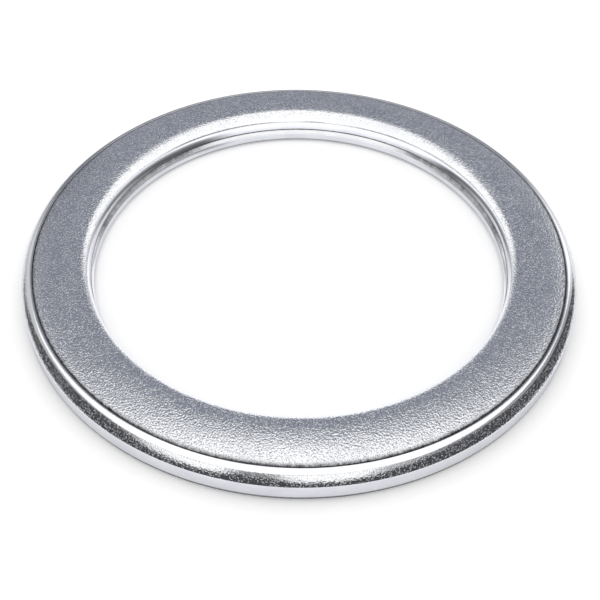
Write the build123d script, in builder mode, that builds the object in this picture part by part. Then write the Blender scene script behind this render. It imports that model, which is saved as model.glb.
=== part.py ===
from build123d import *
from math import asin, cos, degrees, radians, sin, sqrt, tan
import os

# A metal-jacketed ring gasket for an exhaust flange, in millimetres.
# The bore runs along Z, the flat underside lies at Z = 0, and every
# piece is a section in the XZ plane turned round the Z axis.

# Overall sizes
outer_diameter = 85.7
ring_width = 10.75
overall_height = 5.50

# Sheets
cover_sheet = 0.40
jacket_sheet = 0.40

# Cover: a shallow crown that rolls over towards the bore and ends there in a
# short upright skirt. Its highest line runs inside the middle of the ring's
# width, and its two edges stand back from the jacket's walls.
crown_line_offset = 1.68
outer_crown_radius = 23.5
inner_crown_radius = 12.0
inner_roll_radius = 2.20
cover_skirt = 0.85
cover_edge_radius = 0.28
bore_setback = 0.40
rim_setback = 1.92

# Jacket: a channel whose two walls turn in under the cover. Outside the
# cover's cut edge it rises to a low ridge, level with the cover, which leaves
# a narrow groove between them.
outer_wall_height = 3.10
wall_corner_radius = 0.50
shoulder_radius = 4.0
ledge_width = 0.59
ledge_slope = 38.5
ridge_width = 0.34
ridge_rise = 0.42
ridge_radius = 0.45
groove_radius = 0.12
flange_width = 1.40
outer_foot_radius = 0.85
inner_foot_radius = 0.85
joggle_drop = 0.65
joggle_wall_radius = 0.45
joggle_seat_radius = 0.45
curl_angle = 48.0

# Filler: side play in the jacket
filler_clearance = 0.10

os.makedirs("parts", exist_ok=True)

outer_radius = outer_diameter / 2
bore_radius = outer_radius - ring_width
middle_radius = outer_radius - ring_width / 2
cover_radius = outer_radius - rim_setback
crown = Vector(middle_radius - crown_line_offset, overall_height)

# The inner roll touches the inner crown arc from inside and ends upright,
# one setback behind the bore wall. The skirt below it reaches down to the
# seat that carries the cover's lower edge.
roll_x = bore_radius + bore_setback + inner_roll_radius
roll_reach = inner_crown_radius - inner_roll_radius
roll_height = overall_height - inner_crown_radius + sqrt(roll_reach**2 - (crown.X - roll_x) ** 2)
seat_height = roll_height - cover_skirt
inner_crown_sweep = degrees(asin((crown.X - roll_x) / roll_reach))
outer_crown_sweep = degrees(asin((cover_radius - crown.X) / outer_crown_radius))

# The underside of the cover, which the jacket's flange and curl lie against
under_roll_radius = inner_roll_radius - cover_sheet
under_inner_radius = inner_crown_radius - cover_sheet
under_outer_radius = outer_crown_radius - cover_sheet
under_outer_centre = Vector(crown.X, crown.Y - outer_crown_radius)


def under_crown(radius):
    """Point on the underside of the outer crown at this radius."""
    reach = radius - under_outer_centre.X
    return Vector(radius, under_outer_centre.Y + sqrt(under_outer_radius**2 - reach**2))


def under_roll(angle):
    """Point on the underside of the inner roll, this angle above its skirt."""
    across = under_roll_radius * cos(radians(angle))
    up = under_roll_radius * sin(radians(angle))
    return Vector(roll_x - across, roll_height + up)


# Visible face of the cover: from the crown down its roll and skirt into the
# bore, and from the crown out to the cut edge
with BuildLine() as cover_face:
    inner_crown = JernArc(crown, (-1, 0), inner_crown_radius, inner_crown_sweep)
    inner_roll = JernArc(inner_crown @ 1, inner_crown % 1, inner_roll_radius, 90 - inner_crown_sweep)
    skirt = Line(inner_roll @ 1, inner_roll @ 1 - Vector(0, cover_skirt))
    outer_crown = JernArc(crown, (1, 0), outer_crown_radius, -outer_crown_sweep)

# Corners of the jacket, from the seat in the bore round to the groove that
# shows outside the cover
seat_edge = Vector(bore_radius + bore_setback, seat_height)
joggle_foot = Vector(bore_radius, seat_height - joggle_drop)
inner_foot = Vector(bore_radius, 0)
outer_foot = Vector(outer_radius, 0)
wall_top = Vector(outer_radius, outer_wall_height)
groove = under_crown(cover_radius)
ridge = groove + Vector(ridge_width, ridge_rise)
crease = ridge + Vector(ledge_width, -ledge_width * tan(radians(ledge_slope)))

# The sheet's two free ends, both hidden under the cover
curl_end = under_roll(curl_angle)
curl_heading = (-sin(radians(curl_angle)), -cos(radians(curl_angle)))
flange_end = under_crown(cover_radius - flange_width)

# Visible face of the jacket: the curl inside the cover's roll and skirt, the
# joggle, the bore wall, the underside, the outer wall and shoulder, the
# ledge, the ridge, the groove and the flange under the crown
with BuildLine() as jacket_face:
    curl = JernArc(curl_end, curl_heading, under_roll_radius, curl_angle)
    upright = Line(curl @ 1, curl @ 1 - Vector(0, cover_skirt))
    Polyline(upright @ 1, seat_edge, joggle_foot, inner_foot, outer_foot, wall_top)
    RadiusArc(wall_top, crease, -shoulder_radius)
    Polyline(crease, ridge, groove)
    RadiusArc(groove, flange_end, -under_outer_radius)
    for corner, bend_radius in (
        (seat_edge, joggle_seat_radius),
        (joggle_foot, joggle_wall_radius),
        (inner_foot, inner_foot_radius),
        (outer_foot, outer_foot_radius),
        (wall_top, wall_corner_radius),
        (ridge, ridge_radius),
        (groove, groove_radius),
    ):
        fillet(jacket_face.vertices().sort_by_distance(corner)[0], bend_radius)

# Inner face of the same sheet, which the filler is pressed against
with BuildLine() as lining:
    offset(jacket_face.line, jacket_sheet, kind=Kind.TANGENT, side=Side.LEFT, closed=False)

# The cut ends of the sheet, across its thickness
with BuildLine() as sheet_ends:
    Line(curl_end, lining.vertices().sort_by_distance(curl_end)[0])
    Line(flange_end, lining.vertices().sort_by_distance(flange_end)[0])

with BuildPart() as cover:
    with BuildSketch(Plane.XZ) as cover_section:
        with BuildLine():
            offset(cover_face.line, cover_sheet, side=Side.LEFT)
        make_face()
        cut_edge = cover_section.vertices().sort_by_distance(outer_crown @ 1)[0]
        fillet(cut_edge, cover_edge_radius)
    revolve(axis=Axis.Z)

with BuildPart() as jacket:
    with BuildSketch(Plane.XZ):
        with BuildLine():
            add(jacket_face.line)
            add(lining.line)
            add(sheet_ends.line)
        make_face()
    revolve(axis=Axis.Z)

# The compressed ring fills the room between the two shells, but for its
# side play at the jacket's walls
filler_width = ring_width - 2 * (jacket_sheet + filler_clearance)
with BuildPart() as filler:
    with BuildSketch(Plane.XZ):
        with BuildLine():
            add(lining.line)
            add(sheet_ends.line)
            crown_room = RadiusArc(flange_end, crown - Vector(0, cover_sheet), -under_outer_radius)
            slope_room = JernArc(crown_room @ 1, (-1, 0), under_inner_radius, inner_crown_sweep)
            RadiusArc(slope_room @ 1, curl_end, -under_roll_radius)
        make_face()
        with Locations((middle_radius, overall_height / 2)):
            Rectangle(filler_width, overall_height, mode=Mode.INTERSECT)
    revolve(axis=Axis.Z)

cover.part.label = "cover"
jacket.part.label = "jacket"
filler.part.label = "filler"

export_step(cover.part, "parts/cover.step")
export_step(jacket.part, "parts/jacket.step")
export_step(filler.part, "parts/filler.step")
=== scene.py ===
import bpy
from math import acos, asin, atan2, cos, degrees, pi, radians, sin, sqrt, tan
from mathutils import Matrix, Vector, noise


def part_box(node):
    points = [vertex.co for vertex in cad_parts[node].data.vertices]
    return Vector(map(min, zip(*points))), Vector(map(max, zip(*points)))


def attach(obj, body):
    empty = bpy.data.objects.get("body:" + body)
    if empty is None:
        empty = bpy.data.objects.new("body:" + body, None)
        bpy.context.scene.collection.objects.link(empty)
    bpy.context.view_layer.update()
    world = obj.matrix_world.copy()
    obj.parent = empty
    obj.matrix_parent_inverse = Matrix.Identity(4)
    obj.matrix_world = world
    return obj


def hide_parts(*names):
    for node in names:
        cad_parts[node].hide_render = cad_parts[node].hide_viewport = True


# A metal-jacketed ring gasket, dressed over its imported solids. The section is
# written in millimetres, as the solids are, and turned round the z axis into
# meshes in metres. The flat underside lies at z = 0. Bearings round the ring
# count from the camera's side, negative y, and are positive to its right.

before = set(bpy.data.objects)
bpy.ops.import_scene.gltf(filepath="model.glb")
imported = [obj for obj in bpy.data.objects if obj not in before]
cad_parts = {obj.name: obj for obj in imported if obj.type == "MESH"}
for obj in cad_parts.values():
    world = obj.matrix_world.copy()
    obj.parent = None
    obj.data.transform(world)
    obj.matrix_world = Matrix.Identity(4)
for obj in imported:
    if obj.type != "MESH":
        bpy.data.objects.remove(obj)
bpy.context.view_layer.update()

MM = 0.001
TURN_STEPS = 720
SHARP_EDGE = radians(50)

# Sizes read from the solids
OUTER_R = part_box("jacket")[1].x / MM
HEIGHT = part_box("cover")[1].z / MM

# Section values shared with the solids
RING_WIDTH = 10.75
SHEET = 0.40
CROWN_OFFSET = 1.68
OUTER_CROWN = 23.5
INNER_CROWN = 12.0
INNER_ROLL = 2.20
COVER_SKIRT = 0.85
COVER_EDGE = 0.28
BORE_SETBACK = 0.40
RIM_SETBACK = 1.92
WALL_HEIGHT = 3.10
WALL_CORNER = 0.50
SHOULDER = 4.0
LEDGE_WIDTH = 0.59
LEDGE_SLOPE = radians(38.5)
RIDGE_WIDTH = 0.34
RIDGE_RISE = 0.42
FOOT = 0.85
JOGGLE_DROP = 0.65
JOGGLE_BEND = 0.45
CURL = radians(48)
FLANGE = 1.40

BORE = OUTER_R - RING_WIDTH
CROWN = OUTER_R - RING_WIDTH / 2 - CROWN_OFFSET
COVER_R = OUTER_R - RIM_SETBACK
ROLL_X = BORE + BORE_SETBACK + INNER_ROLL
REACH = INNER_CROWN - INNER_ROLL
ROLL_Z = HEIGHT - INNER_CROWN + sqrt(REACH**2 - (CROWN - ROLL_X) ** 2)
ROLL_CENTRE = (ROLL_X, ROLL_Z)
SEAT = ROLL_Z - COVER_SKIRT
INNER_SWEEP = asin((CROWN - ROLL_X) / REACH)
OUTER_SWEEP = asin((COVER_R - CROWN) / OUTER_CROWN)

# The dressed rim: the groove's floor is narrow, the ridge's inner side stands
# up steeply to its lip, and one shallow arc makes the ridge's top and the ledge
FLANGE_SHOWN = 0.5
GROOVE_GAP = 0.02
GROOVE_SINK = 0.04
GROOVE_BEND = 0.03
LIP_GAP = 0.06
LIP_DROP = 0.10
LIP_BEND = 0.06
LEDGE_BOW = 1.85

# Two points of the flat underside, and a last one on the straight outer wall
# that keeps the painted contact shadow of the foot below it
FLAT_OUTER = BORE + 6
FLAT_INNER = BORE + 4
WALL_FOOT = (OUTER_R, FOOT + 0.2)

# The jacket's hidden face lies a little closer than one sheet behind its skin
BACK_GAUGE = 0.85 * SHEET

# Sheared edges: how much of the section moves with them, how far the skirt's
# stands clear of the seat, how far the rim's is cut back, and how far both wander
SKIRT_BAND = 0.05
SKIRT_LIFT = 0.06
SKIRT_WANDER = 0.09
RIM_BAND = 0.24
RIM_TRIM = 0.01
RIM_WANDER = 0.03

# Radii at which the wander and the unevenness of the grime and painted shade are drawn
BORE_SEAM_R = 32
RIM_SEAM_R = 41

# Grain left where the sheet is stretched or pressed smooth, 1 being full grain
COVER_SMOOTH = 0.05
JACKET_SMOOTH = 0.1

# Painted shade, from 0 for none to 1 for black
SKIRT_EDGE_SHADE = 0.9
SKIRT_SHADE = 0.55
THIN_SEAM_SHADE = 0.12
THICK_SEAM_SHADE = 0.8
GROOVE_SHADE = 0.75
CREASE_SHADE = 0.3
SEAT_SHADE = 0.9
RIM_FOOT_SHADOW = 0.9
BORE_FOOT_SHADOW = 0.5


# Section outlines

def arc(centre, radius, start, end, steps):
    """Points of an arc, angles in radians from the +r axis."""
    out = []
    for i in range(steps + 1):
        a = start + (end - start) * i / steps
        out.append((centre[0] + radius * cos(a), centre[1] + radius * sin(a)))
    return out


def arc_centre(start, end, bow):
    """Centre of an arc, this far to the right of the middle of its chord."""
    chord = Vector(end) - Vector(start)
    across = Vector((chord.y, -chord.x)).normalized()
    return Vector(start) + chord / 2 + across * bow


def arc_between(start, end, centre, radius, steps):
    """Points of the arc round this centre from start to end."""
    first = atan2(start[1] - centre.y, start[0] - centre.x)
    last = atan2(end[1] - centre.y, end[0] - centre.x)
    return arc(centre, radius, first, last, steps)


def run(p, q, steps):
    """Points of a straight stretch, without its last one."""
    along = (q[0] - p[0], q[1] - p[1])
    return [(p[0] + along[0] * i / steps, p[1] + along[1] * i / steps) for i in range(steps)]


def rounded(corners, radii, steps=8):
    """An open outline through corners, with each inner corner rounded."""
    out = [corners[0]]
    for i in range(1, len(corners) - 1):
        p = Vector(corners[i])
        a = (Vector(corners[i - 1]) - p).normalized()
        b = (Vector(corners[i + 1]) - p).normalized()
        half = acos(max(-1, min(1, a.dot(b)))) / 2
        reach = radii[i - 1] / tan(half)
        centre = p + (a + b).normalized() * (radii[i - 1] / sin(half))
        start = p + a * reach - centre
        end = p + b * reach - centre
        first = atan2(start.y, start.x)
        sweep = (atan2(end.y, end.x) - first + pi) % (2 * pi) - pi
        out += arc(centre, radii[i - 1], first, first + sweep, steps)
    out.append(corners[-1])
    return out


def under_crown(radius):
    """Height of the outer crown's underside at this radius."""
    return HEIGHT - OUTER_CROWN + sqrt((OUTER_CROWN - SHEET) ** 2 - (radius - CROWN) ** 2)


def crown_arc(radius, start, end, steps, gauge=0.0):
    """Part of a crown arc, angles from its top, or of the face one gauge below."""
    centre = (CROWN, HEIGHT - radius)
    return arc(centre, radius - gauge, pi / 2 + start, pi / 2 + end, steps)


GROOVE_Z = under_crown(COVER_R)
RIDGE_Z = GROOVE_Z + RIDGE_RISE
CREASE = (COVER_R + RIDGE_WIDTH + LEDGE_WIDTH, RIDGE_Z - LEDGE_WIDTH * tan(LEDGE_SLOPE))


def cover_outline():
    """Closed section of the cover, from the foot of its skirt over the crown."""
    skirt_r = ROLL_X - INNER_ROLL
    lean = pi / 2 + INNER_SWEEP
    skirt = run((skirt_r, SEAT), (skirt_r, ROLL_Z), steps=8)
    roll = arc(ROLL_CENTRE, INNER_ROLL, pi, lean, steps=24)
    top = crown_arc(INNER_CROWN, INNER_SWEEP, 0, steps=5)[1:]
    top += crown_arc(OUTER_CROWN, 0, -OUTER_SWEEP, steps=16)[1:]
    low_corner = crown_arc(OUTER_CROWN, 0, -OUTER_SWEEP, steps=1, gauge=SHEET)[1]
    edge = rounded([top[-3], top[-1], low_corner], [COVER_EDGE])[1:]
    back = crown_arc(OUTER_CROWN, -OUTER_SWEEP, 0, steps=5, gauge=SHEET)[1:]
    back += crown_arc(INNER_CROWN, 0, INNER_SWEEP, steps=2, gauge=SHEET)[1:]
    back += arc(ROLL_CENTRE, INNER_ROLL - SHEET, lean, pi, steps=8)[1:]
    back.append((skirt_r + SHEET, SEAT))
    return skirt + roll + top[:-2] + edge + back


def rim_skin():
    """The jacket's skin from the flange under the cover, through the groove and
    over the ridge and ledge, down the shoulder."""
    flange = [(r, under_crown(r)) for r in (COVER_R - FLANGE, COVER_R - FLANGE_SHOWN)]
    deep = (COVER_R + GROOVE_GAP, GROOVE_Z - GROOVE_SINK)
    lip = (COVER_R + LIP_GAP, RIDGE_Z - LIP_DROP)
    middle = arc_centre(lip, CREASE, LEDGE_BOW)
    bow = (Vector(lip) - middle).length
    ledge = arc_between(lip, CREASE, middle, bow, steps=12)
    crease_end = arc_between(lip, CREASE, middle, bow, steps=20)[-2:]
    groove = rounded([flange[1], deep, lip, ledge[2]], [GROOVE_BEND, LIP_BEND], steps=5)
    wall_top = (OUTER_R, WALL_HEIGHT)
    half_chord = (Vector(wall_top) - Vector(CREASE)).length / 2
    centre = arc_centre(CREASE, wall_top, sqrt(SHOULDER**2 - half_chord**2))
    shoulder = arc_between(CREASE, wall_top, centre, SHOULDER, steps=14)
    shoulder_start = arc_between(CREASE, wall_top, centre, SHOULDER, steps=30)[1:2]
    rim = flange[:1] + groove + ledge[3:-1] + crease_end
    return rim + shoulder_start + shoulder[1:-1]


def jacket_skin():
    """Outer skin of the jacket, from its flange under the cover round to its curl."""
    rim = rim_skin()
    corners = [rim[-1], (OUTER_R, WALL_HEIGHT), (OUTER_R, 0), (FLAT_OUTER, 0)]
    wall = rounded(corners, [WALL_CORNER, FOOT])
    low = next(n for n, point in enumerate(wall) if point[1] <= FOOT + 1e-6)
    wall.insert(low, WALL_FOOT)
    seat = (BORE + BORE_SETBACK, SEAT)
    corners = [(FLAT_INNER, 0), (BORE, 0), (BORE, SEAT - JOGGLE_DROP), seat]
    corners.append((seat[0] + SHEET, SEAT))
    bore = rounded(corners, [FOOT, JOGGLE_BEND, JOGGLE_BEND])
    curl = arc(ROLL_CENTRE, INNER_ROLL - SHEET, pi, pi - CURL, steps=4)
    return rim[:-1] + wall + bore + curl


def jacket_back():
    """The jacket's hidden face from curl to flange. It follows the skin, but for
    bends that are left as plain corners."""
    gauge = BACK_GAUGE
    curl = arc(ROLL_CENTRE, INNER_ROLL - SHEET - gauge, pi - CURL, pi, steps=4)
    joggle = [
        (curl[-1][0], SEAT - gauge),
        (BORE + 1.3 * gauge, SEAT - 1.8 * gauge),
        (BORE + gauge, SEAT - 1.1 * JOGGLE_DROP),
    ]
    inner_foot = arc((BORE + FOOT, FOOT), FOOT - gauge, pi, 1.5 * pi, steps=5)
    outer_foot = arc((OUTER_R - FOOT, FOOT), FOOT - gauge, -0.5 * pi, 0, steps=5)
    rim = [
        (OUTER_R - gauge, WALL_HEIGHT - 0.5 * gauge),
        (CREASE[0] - 0.3 * gauge, CREASE[1] - gauge),
        (COVER_R + 0.5, CREASE[1] - 0.6 * gauge),
        (COVER_R, GROOVE_Z - gauge),
        (COVER_R - FLANGE, under_crown(COVER_R - FLANGE) - gauge),
    ]
    return curl + joggle + inner_foot + outer_foot + rim


# Turned meshes

def add_mesh(name, verts, faces, paints):
    """A mesh object with painted point values, given by the name of each paint."""
    mesh = bpy.data.meshes.new(name)
    mesh.from_pydata(verts, [], faces)
    for paint, values in paints.items():
        mesh.attributes.new(paint, "FLOAT", "POINT").data.foreach_set("value", values)
    piece = bpy.data.objects.new(name, mesh)
    bpy.context.scene.collection.objects.link(piece)
    return piece


def lathe(name, outline, paint, shade_and_grime, shift=None):
    """Turn a closed section round z. paint(r, z) gives how much grain a point of it has,
    the second function, taking (r, z, a), how much grime and painted shade, and shift(r, z, a)
    moves it."""
    verts = []
    faces = []
    grain = []
    soil_and_shade = []
    count = len(outline)
    for i in range(TURN_STEPS):
        a = 2 * pi * i / TURN_STEPS
        base = i * count
        beyond = ((i + 1) % TURN_STEPS) * count
        for j, (r, z) in enumerate(outline):
            dr, dz = shift(r, z, a) if shift else (0.0, 0.0)
            verts.append(((r + dr) * MM * cos(a), (r + dr) * MM * sin(a), (z + dz) * MM))
            grain.append(paint(r, z))
            soil_and_shade.append(shade_and_grime(r, z, a))
            k = (j + 1) % count
            faces.append((base + j, base + k, beyond + k, beyond + j))
    piece = add_mesh(name, verts, faces, {"grain": grain, "soil_and_shade": soil_and_shade})
    piece.data.shade_smooth()
    piece.data.set_sharp_from_angle(angle=SHARP_EDGE)
    return piece


def ripple(a, radius, length, seed):
    """A seeded wander from -1 to 1 round the ring, its waves about length mm long."""
    spot = Vector((radius * cos(a) / length, radius * sin(a) / length, seed))
    return noise.fractal(spot, 0.6, 2.1, 3)


def ease(value, low, high):
    """A smooth step from 0 at low to 1 at high."""
    t = max(0.0, min(1.0, (value - low) / (high - low)))
    return t * t * (3 - 2 * t)


def cover_shift(r, z, a):
    """The sheared edges wander a little; the rest of the cover runs true."""
    if z < SEAT + SKIRT_BAND:
        wander = max(-0.6, ripple(a, BORE_SEAM_R, length=0.6, seed=3.1))
        return 0.0, SKIRT_LIFT + SKIRT_WANDER * wander
    if r > COVER_R - RIM_BAND:
        return RIM_WANDER * ripple(a, RIM_SEAM_R, length=0.9, seed=7.7) - RIM_TRIM, 0.0
    return 0.0, 0.0


def cover_paint(r, z):
    """Full grain on the crown, stretched smooth round the roll and skirt."""
    if r > ROLL_X:
        return 1.0
    share = ease(z, ROLL_Z + 0.35 * INNER_ROLL, ROLL_Z + 0.85 * INNER_ROLL)
    return COVER_SMOOTH + (1 - COVER_SMOOTH) * share


def jacket_paint(r, z):
    """Grain on the shoulder only: the ledge and both walls are pressed smooth."""
    if r > COVER_R + 0.9 and z > 0.5 * WALL_HEIGHT:
        share = ease(z, WALL_HEIGHT - 0.02, WALL_HEIGHT + 0.3)
        return JACKET_SMOOTH + (1 - JACKET_SMOOTH) * share
    return JACKET_SMOOTH


def seam_shade(a):
    """Painted shade in the bore's seam, thickest in two patches, left and right of the back."""
    turn = abs(degrees(a) % 360 - 90)
    uneven = 0.8 + 0.2 * ripple(a, BORE_SEAM_R, length=1.6, seed=5.3)
    thick = THICK_SEAM_SHADE * ease(turn, 26, 40) * ease(turn, 90, 78)
    return THIN_SEAM_SHADE + thick * uneven


def cover_grime_and_shade(r, z, a):
    """Dark on the sheared edges: some grime on the rim's, more painted shade in the bore's seam.
    """
    if r > COVER_R - 0.45:
        uneven = 0.72 + 0.25 * ripple(a, RIM_SEAM_R, length=0.6, seed=2.9)
        return ease(r, COVER_R - 0.40, COVER_R - 0.22) * uneven
    if z >= ROLL_Z:
        return 0.0
    # Painted shade on the skirt's cut edge and down the bore's seam
    edge = SKIRT_EDGE_SHADE * ease(z, SEAT + 0.14, SEAT + 0.03)
    return max(edge, SKIRT_SHADE * seam_shade(a) * ease(z, SEAT + 0.8, SEAT + 0.1))


def jacket_painted_shade(r, z, a):
    """Painted shade down in the groove, on the seat, down the bore's seam and along
    both feet, and a painted dark line along the crease."""
    if r > COVER_R - 1 and z > 0.5 * WALL_HEIGHT:
        # Painted shade down in the groove
        groove = GROOVE_SHADE * ease(r, COVER_R + 0.05, COVER_R + 0.01)
        # A painted dark line along the crease
        return max(groove, CREASE_SHADE * ease(abs(r - CREASE[0]), 0.05, 0.01))
    if r < BORE + 1 and z > 0.5 * SEAT:
        # Painted shade on the seat and down the bore's seam
        seat = SEAT_SHADE * ease(z, SEAT - 0.16, SEAT - 0.06)
        return max(seat, seam_shade(a) * ease(z, SEAT - JOGGLE_DROP - 0.1, SEAT - 0.45))
    if r > OUTER_R - 1:
        # Painted contact shadow along the outer foot
        foot = RIM_FOOT_SHADOW * ease(z, FOOT + 0.15, 0.95 * FOOT)
        return foot * ease(r, OUTER_R - 0.6, OUTER_R - 0.35)
    # Painted contact shadow along the bore's foot
    foot = BORE_FOOT_SHADOW * ease(z, 0.8 * FOOT, 0.5 * FOOT)
    return foot * ease(r, BORE + 0.6, BORE + 0.35)


# Materials

class Tree:
    """A node tree, with short ways to add the nodes used here."""

    def __init__(self, tree):
        self.tree = tree

    def node(self, kind, **settings):
        made = self.tree.nodes.new(kind)
        for key, value in settings.items():
            setattr(made, key, value)
        return made

    def feed(self, socket, value):
        """Link a socket's value into another socket, or set a plain value on it."""
        if isinstance(value, bpy.types.NodeSocket):
            self.tree.links.new(value, socket)
        else:
            socket.default_value = value

    def made(self, kind, output, values, **settings):
        """Output of a new node whose inputs, by number or name, have these values."""
        node = self.node(kind, **settings)
        for key, value in values.items():
            self.feed(node.inputs[key], value)
        return node.outputs[output]

    def math(self, operation, a, b=0.0):
        return self.made("ShaderNodeMath", 0, {0: a, 1: b}, operation=operation)

    def times(self, a, b):
        return self.math("MULTIPLY", a, b)

    def distance(self, x, y):
        """Length of the vector that has these two coordinates."""
        squares = self.math("ADD", self.math("POWER", x, 2.0), self.math("POWER", y, 2.0))
        return self.math("SQRT", squares)

    def fade(self, value, low, high, start=0.0, end=1.0):
        """A smooth step from start, where the value is low, to end, where it's high."""
        limits = {0: value, 1: low, 2: high, 3: start, 4: end}
        kind = "ShaderNodeMapRange"
        return self.made(kind, 0, limits, interpolation_type="SMOOTHSTEP")

    def sweep(self, angle, low, high, start=0.0, end=1.0):
        """The same, over an angle whose limits are given in degrees."""
        return self.fade(angle, radians(low), radians(high), start, end)

    def sector(self, angle, start, full, full_end, end):
        """1 between the two middle bearings, fading to 0 at the outer two."""
        return self.times(self.sweep(angle, start, full), self.sweep(angle, end, full_end))

    def mix(self, factor, a, b):
        return self.made("ShaderNodeMix", 2, {0: factor, 6: a, 7: b}, data_type="RGBA")

    def noise(self, vector, scale, detail=2.0, roughness=0.5):
        values = {"Vector": vector, "Scale": scale, "Detail": detail, "Roughness": roughness}
        return self.made("ShaderNodeTexNoise", "Fac", values)

    def bump(self, height, distance, **more):
        values = {"Height": height, "Distance": distance, **more}
        return self.made("ShaderNodeBump", 0, values)

    def painted(self, name):
        return self.node("ShaderNodeAttribute", attribute_name=name).outputs["Fac"]

    def place(self, kind="Object"):
        return self.node("ShaderNodeTexCoord").outputs[kind]

    def split(self, vector):
        node = self.node("ShaderNodeSeparateXYZ")
        self.feed(node.inputs[0], vector)
        return node.outputs

    def bearing(self, parts):
        """Angle round z of a split vector, from the camera's side."""
        return self.math("ARCTAN2", parts[0], self.times(parts[1], -1.0))


def new_material(name):
    """A node material, its tree and its shader."""
    material = bpy.data.materials.new(name)
    material.use_nodes = True
    return material, Tree(material.node_tree), material.node_tree.nodes["Principled BSDF"]


# Steel: noise scales per metre, and heights in metres
PEEL_SCALE = 3700
PIMPLE_SCALE = 4300
FINE_SCALE = 6200
BROAD_SCALE = 260
PEEL_SHARE = 0.6
PIMPLE_SHARE = 0.40
PIMPLE_EDGE = (0.61, 0.69)
DRAWN_SCALE = 420
DRAWN_ACROSS = 14.0
DRAWN_ROUND = 0.012
DRAWN_HEIGHT = 1.6e-6
DRAWN_STRENGTH = 0.5
DARKER_STEEL = (0.89, 0.895, 0.92, 1)
BRIGHTER_STEEL = (0.95, 0.955, 0.97, 1)
PIT = (0.40, 0.41, 0.44, 1)
PIT_EDGE = (0.42, 0.30)
PIT_STRENGTH = 0.6
GRIME_AND_SHADE = (0.035, 0.035, 0.04, 1)
GRIME_AND_SHADE_ROUGHNESS = 0.25


def sheet_steel(name, rough, depth):
    """Bright sheet with an orange-peel grain, whose strength is painted on the mesh."""
    material, t, shader = new_material(name)
    place = t.place()
    grain = t.painted("grain")
    soil_and_shade = t.painted("soil_and_shade")
    peel = t.noise(place, PEEL_SCALE, detail=1.0)
    fine = t.noise(place, FINE_SCALE, detail=1.0)
    pimple = t.fade(t.noise(place, PIMPLE_SCALE, detail=0.0), *PIMPLE_EDGE)
    height = t.math("ADD", t.times(peel, PEEL_SHARE), t.times(pimple, PIMPLE_SHARE))
    bump = t.bump(height, depth, Strength=grain)
    # Circumferential drawing marks, faint everywhere and all that the walls have
    x, y, z = t.split(place)
    ring = {
        0: t.times(t.distance(x, y), DRAWN_ACROSS),
        1: t.times(z, DRAWN_ACROSS),
        2: t.times(t.math("ARCTAN2", y, x), DRAWN_ROUND),
    }
    marks = t.noise(t.made("ShaderNodeCombineXYZ", 0, ring), DRAWN_SCALE, roughness=0.6)
    drawn = t.bump(marks, DRAWN_HEIGHT, Strength=DRAWN_STRENGTH, Normal=bump)
    t.feed(shader.inputs["Normal"], drawn)
    # Tone varies broadly, darkens in the pits of the grain and goes black in grime and painted
    # shade
    tone = t.mix(t.fade(t.noise(place, BROAD_SCALE), 0.3, 0.7), DARKER_STEEL, BRIGHTER_STEEL)
    pits = t.times(t.fade(fine, *PIT_EDGE), t.times(grain, PIT_STRENGTH))
    blotch = t.times(soil_and_shade, t.fade(fine, 0.25, 0.7, 1.15, 0.85))
    t.feed(shader.inputs["Base Color"], t.mix(blotch, t.mix(pits, tone, PIT), GRIME_AND_SHADE))
    sheen = t.fade(peel, 0.25, 0.75, *rough)
    t.feed(shader.inputs["Roughness"], t.math("ADD", sheen, t.times(soil_and_shade, GRIME_AND_SHADE_ROUGHNESS)))
    t.feed(shader.inputs["Metallic"], 1.0)
    return material


def graphite():
    """Dull pressed graphite for the filler that both sheets close in."""
    material, t, shader = new_material("pressed_graphite")
    place = t.place()
    flakes = t.made("ShaderNodeTexVoronoi", "Distance", {"Vector": place, "Scale": 1500})
    grit = t.noise(place, 4200, detail=3.0, roughness=0.6)
    tone = t.mix(t.fade(grit, 0.3, 0.7), (0.055, 0.055, 0.06, 1), (0.12, 0.12, 0.13, 1))
    t.feed(shader.inputs["Base Color"], tone)
    t.feed(shader.inputs["Roughness"], t.fade(flakes, 0.0, 0.6, 0.45, 0.7))
    height = t.math("ADD", flakes, t.times(grit, 0.4))
    t.feed(shader.inputs["Normal"], t.bump(height, 3e-5))
    t.feed(shader.inputs["Metallic"], 0.35)
    return material


# Pieces
cover = lathe("cover_shell", cover_outline(), cover_paint, cover_grime_and_shade, cover_shift)
cover.data.materials.append(sheet_steel("cover_steel", rough=(0.04, 0.08), depth=1.0e-4))
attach(cover, "root")
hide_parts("cover")

jacket = lathe("jacket_shell", jacket_skin() + jacket_back(), jacket_paint, jacket_painted_shade)
jacket.data.materials.append(sheet_steel("jacket_steel", rough=(0.05, 0.09), depth=5.5e-5))
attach(jacket, "root")
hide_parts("jacket")

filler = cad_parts["filler"]
black = graphite()
if len(filler.data.materials) == 0:
    filler.data.materials.append(black)
for slot in filler.material_slots:
    slot.material = black

# Floor: paper that is white to the camera, and darker for diffuse bounces so
# that the object's shadow holds. Painted reflections, which only the steel
# mirrors: two dim patches of painted shade inside the bore, a grey stretch
# behind the ring and a glow that lifts the paper within the bore.
PAPER = (0.97, 0.97, 0.975, 1)
PAPER_BOUNCED = (0.45, 0.45, 0.46, 1)
PAPER_MIRRORED = (0.93, 0.94, 0.975, 1)
PATCH = (0.03, 0.03, 0.035, 1)
PATCH_RANGE = 50
# Radius in millimetres and density of the two patches there
PATCH_STOPS = [
    (8, 0.0), (14, 0.12), (20, 0.42), (24, 0.52), (26, 0.64), (28, 0.78), (29.8, 0.9), (31, 0.0),
]
# Bearings where each patch starts, is full, is full still, and ends
RIGHT_PATCH = (90, 108, 132, 146)
LEFT_PATCH = (-98, -114, -150, -162)
BEHIND_BEARING = (105, 135)
BEHIND_START = (44 * MM, 46 * MM)
BEHIND_DENSITY = 0.6
LIFT_END = (30 * MM, 28 * MM)
BORE_LIFT = 0.2
CAMERA_LIFT = 0.16

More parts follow.
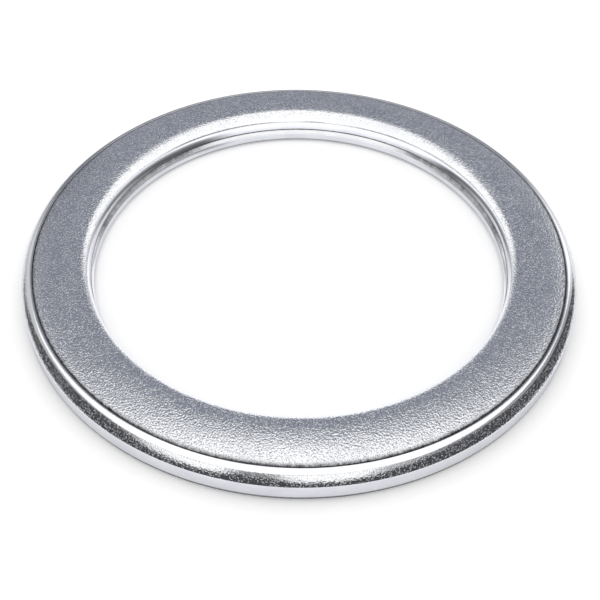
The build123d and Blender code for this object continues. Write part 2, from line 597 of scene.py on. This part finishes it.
bpy.ops.mesh.primitive_plane_add(size=4)
floor = bpy.context.object
floor.name = "floor"
paper, t, shader = new_material("paper")
light = t.node("ShaderNodeLightPath").outputs
spot = t.split(t.place())
turn = t.bearing(spot)
reach = t.distance(spot[0], spot[1])
right = t.sector(turn, *RIGHT_PATCH)
left = t.sector(turn, *LEFT_PATCH)
dim = t.node("ShaderNodeValToRGB")
t.feed(dim.inputs[0], t.math("DIVIDE", reach, PATCH_RANGE * MM))
while len(dim.color_ramp.elements) < len(PATCH_STOPS):
    dim.color_ramp.elements.new(0.5)
for element, (radius, level) in zip(dim.color_ramp.elements, PATCH_STOPS):
    element.position = radius / PATCH_RANGE
    element.color = (level, level, level, 1)
around = t.sweep(t.math("ABSOLUTE", turn), *BEHIND_BEARING)
behind = t.times(around, t.fade(reach, *BEHIND_START, end=BEHIND_DENSITY))
patch = t.math("ADD", behind, t.times(t.math("ADD", right, left), dim.outputs[0]))
patch = t.times(patch, light["Is Glossy Ray"])
sheet = t.mix(light["Is Diffuse Ray"], PAPER, PAPER_BOUNCED)
sheet = t.mix(light["Is Glossy Ray"], sheet, PAPER_MIRRORED)
t.feed(shader.inputs["Base Color"], t.mix(patch, sheet, PATCH))
t.feed(shader.inputs["Roughness"], 0.95)
t.feed(shader.inputs["Specular IOR Level"], 0.0)
inside = t.times(t.math("SUBTRACT", 1.0, patch), t.fade(reach, *LIFT_END, end=BORE_LIFT))
glow = t.times(light["Is Glossy Ray"], inside)
lift = t.node("ShaderNodeEmission")
strength = t.math("ADD", glow, t.times(light["Is Camera Ray"], CAMERA_LIFT))
t.feed(lift.inputs["Strength"], strength)
both = t.made("ShaderNodeAddShader", 0, {0: shader.outputs[0], 1: lift.outputs[0]})
t.feed(paper.node_tree.nodes["Material Output"].inputs["Surface"], both)
floor.data.materials.append(paper)

# A low dark card round the front and sides, which only the sheet mirrors. Each
# column gives its bearing in degrees, the top of its solid part in millimetres,
# and how dense and how tall the veil above that is.
CARD_RADIUS = 52
CARD_STEPS = 120
CARD_COLUMNS = [
    (-135, 0, 0.0, 13), (-125, 0, 0.3, 13), (-95, 0, 0.45, 14), (-85, 2.5, 0.5, 15),
    (-76, 5, 0.5, 14), (-65, 9.5, 0.7, 15), (-55, 10.5, 0.7, 15), (-45, 10.5, 0.75, 15),
    (-37, 9, 0.7, 14), (-31, 6.2, 0.3, 10), (-22, 5.7, 0.05, 8), (-16, 6.2, 0.1, 9),
    (-12, 8.2, 0.8, 15), (-5, 8.2, 0.8, 15), (-1, 6.4, 0.1, 10), (3, 5.8, 0.05, 8),
    (8, 5.7, 0.0, 8), (14, 6.1, 0.1, 9), (19, 7.2, 0.6, 13), (25, 8.5, 0.65, 14),
    (32, 9.5, 0.75, 15), (40, 10.5, 0.75, 17), (55, 11, 0.75, 19), (75, 12, 0.75, 19),
    (84, 8, 0.7, 16), (91, 2, 0.4, 10), (97, 0, 0.1, 6), (104, 0, 0.0, 4),
]
# The solid part is never lower than this, is as thin as the veil where it is
# lower than the second, and the veil always stands at least the third above it
LOWEST_SOLID = 0.1
LEAST_DENSE_SOLID = 1.2
LEAST_VEIL = 2.4
# Half the height over which the solid part turns into the veil, and the veil ends
SOFT_EDGE = 1


def card_column(bearing):
    """Top of the solid part, density of the veil and its top at this bearing."""
    before = sum(1 for column in CARD_COLUMNS if column[0] <= bearing) - 1
    k = max(0, min(len(CARD_COLUMNS) - 2, before))
    near, far = CARD_COLUMNS[k : k + 2]
    share = (bearing - near[0]) / (far[0] - near[0])
    return [near[n] + (far[n] - near[n]) * share for n in (1, 2, 3)]


verts = []
faces = []
veil = []
first, last = CARD_COLUMNS[0][0], CARD_COLUMNS[-1][0]
for i in range(CARD_STEPS + 1):
    bearing = first + (last - first) * i / CARD_STEPS
    solid, dense, top = card_column(bearing)
    solid = max(solid, LOWEST_SOLID)
    body = 1.0 if solid > LEAST_DENSE_SOLID else dense
    top = max(top, solid + LEAST_VEIL)
    rows = [
        (0, body), (max(solid - SOFT_EDGE, 0.05), body), (solid + SOFT_EDGE, dense),
        (top - SOFT_EDGE, dense), (top + SOFT_EDGE, 0.0),
    ]
    a = radians(bearing - 90)
    for z, level in rows:
        verts.append((CARD_RADIUS * MM * cos(a), CARD_RADIUS * MM * sin(a), z * MM))
        veil.append(level)
    if i:
        count = len(rows)
        for base in range(count * i, count * i + count - 1):
            faces.append((base - count, base, base + 1, base + 1 - count))
card = add_mesh("card", verts, faces, {"veil": veil})
felt, t, shader = new_material("felt")
t.feed(shader.inputs["Base Color"], (0.10, 0.10, 0.108, 1))
t.feed(shader.inputs["Roughness"], 1.0)
t.feed(shader.inputs["Specular IOR Level"], 0.0)
t.feed(shader.inputs["Alpha"], t.painted("veil"))
card.data.materials.append(felt)
card.visible_camera = False
card.visible_diffuse = False
card.visible_shadow = False

# Studio: a white tent, with a grey wall behind the object that the sheet mirrors.
# The wall reaches a little further round on the left, and higher up.
WHITE = (1, 1, 1, 1)
TENT = (1.12, 1.12, 1.12, 1)
WALL = (0.24, 0.255, 0.30, 1)
WALL_START = (138, 156)
WALL_TOP = (67, 57)
world = bpy.data.worlds.new("studio")
bpy.context.scene.world = world
world.use_nodes = True
t = Tree(world.node_tree)
way = t.split(t.place("Generated"))
side = t.bearing(way)
rise = t.math("ARCSINE", way[2])
leftward = t.sweep(side, 1, -1, end=radians(5))
upward = t.sweep(rise, 20, 42, end=radians(20))
bias = t.math("ADD", t.math("ADD", t.math("ABSOLUTE", side), leftward), upward)
wall = t.times(t.sweep(bias, *WALL_START), t.sweep(rise, *WALL_TOP))
mirrored = t.node("ShaderNodeLightPath").outputs["Is Glossy Ray"]
back = world.node_tree.nodes["Background"]
t.feed(back.inputs["Color"], t.mix(mirrored, WHITE, t.mix(wall, TENT, WALL)))
t.feed(back.inputs["Strength"], 1.0)

# Camera, at the photograph's place
ELEVATION = radians(45.0)
DISTANCE = 0.1534
PICTURE_PIXELS = 600
FOCAL_PIXELS = 961
CENTRE_PIXEL = (299.39, 264.85)
ROLL = radians(0.98)
data = bpy.data.cameras.new("camera")
camera = bpy.data.objects.new("camera", data)
bpy.context.scene.collection.objects.link(camera)
data.sensor_width = 36
data.lens = data.sensor_width * FOCAL_PIXELS / PICTURE_PIXELS
data.shift_x = (PICTURE_PIXELS / 2 - CENTRE_PIXEL[0]) / PICTURE_PIXELS
data.shift_y = (CENTRE_PIXEL[1] - PICTURE_PIXELS / 2) / PICTURE_PIXELS
data.clip_start = 0.005
place = Vector((0, -DISTANCE * cos(ELEVATION), DISTANCE * sin(ELEVATION)))
look = (-place).to_track_quat("-Z", "Y").to_matrix().to_4x4()
camera.matrix_world = Matrix.Translation(place) @ look @ Matrix.Rotation(ROLL, 4, "Z")
bpy.context.scene.camera = camera
bpy.context.scene.view_settings.view_transform = "Standard"
